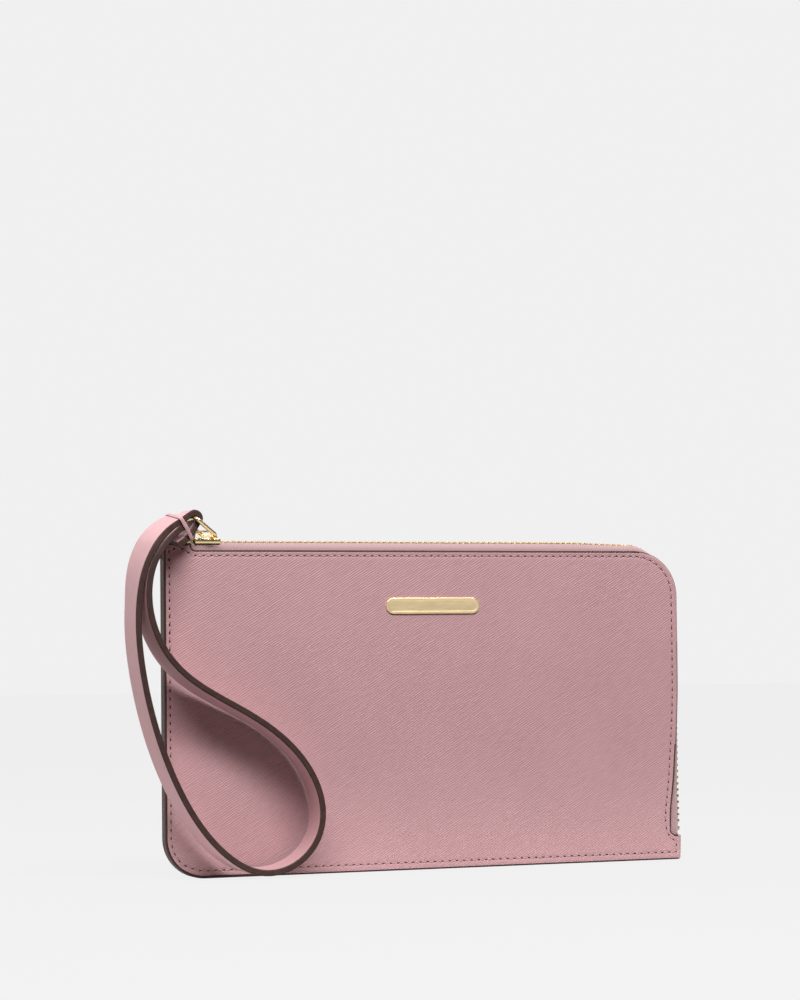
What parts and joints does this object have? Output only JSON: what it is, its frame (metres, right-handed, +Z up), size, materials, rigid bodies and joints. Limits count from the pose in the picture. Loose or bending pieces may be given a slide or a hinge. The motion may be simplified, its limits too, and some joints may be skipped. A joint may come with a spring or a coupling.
{
  "type": "wristlet wallet",
  "caption": "Flat leather wristlet wallet with an L-shaped metal zip, card slots inside and a leather wrist loop on the zip slider's ring.",
  "frame": {"origin": "middle of the bottom edge, in the plane between the two halves", "axes": "+X along the width towards the zip's open end, +Y from the front to the back, +Z up"},
  "size_m": [0.227, 0.0279, 0.1352],
  "materials": {
    "panel_leather": "cross-grain, satin, dark painted edges",
    "strap_leather": "fine grain, satin, dark painted edges",
    "stiffener_board": "matt",
    "lining_cloth": "fine twill",
    "sewing_thread": "twisted thread",
    "zip_tape_twill": "woven tape",
    "gold_metal": "polished, pale gold plated"
  },
  "bodies": {
    "wallet_front": {"front_panel": "panel_leather", "front_board": "stiffener_board", "front_lining": "lining_cloth", "slip_pocket": "lining_cloth", "front_stitching": "sewing_thread", "nameplate": "gold_metal", "nameplate_washers": "gold_metal", "zip_tape_front": "zip_tape_twill", "zip_teeth_front": "gold_metal", "zip_end_teeth": "gold_metal", "zip_top_stop_front": "gold_metal", "zip_bottom_stop": "gold_metal"},
    "wallet_back": {"back_panel": "panel_leather", "back_board": "stiffener_board", "back_lining": "lining_cloth", "card_slot_1": "lining_cloth", "card_slot_2": "lining_cloth", "card_slot_3": "lining_cloth", "card_slot_4": "lining_cloth", "card_slot_5": "lining_cloth", "card_slot_6": "lining_cloth", "back_stitching": "sewing_thread", "zip_tape_back": "zip_tape_twill", "zip_teeth_back": "gold_metal", "zip_top_stop_back": "gold_metal"},
    "slider": {"slider_body": "gold_metal"},
    "ring": {"pull_ring": "gold_metal"},
    "wrist_strap": {"strap_outer_layer": "strap_leather", "strap_inner_layer": "strap_leather", "strap_keeper": "strap_leather"}
  },
  "joints": [
    {"name": "mouth_open", "type": "hinge", "parent": "wallet_front", "child": "wallet_back", "pos_m": [0, 0.0025, 0], "axis": [-1, 0, 0], "range_deg": [0, 16]},
    {"name": "zip_slide", "type": "slide", "parent": "wallet_front", "child": "slider", "axis": [1, 0, 0], "range_m": [0, 0.165]},
    {"name": "ring_swing", "type": "hinge", "parent": "slider", "child": "ring", "pos_m": [-0.0864, 0, 0.1257], "axis": [0, 1, 0], "range_deg": [0, 50]},
    {"name": "strap_swing", "type": "hinge", "parent": "ring", "child": "wrist_strap", "pos_m": [-0.094, 0, 0.132], "axis": [0, 1, 0], "range_deg": [0, 150]}
  ]
}
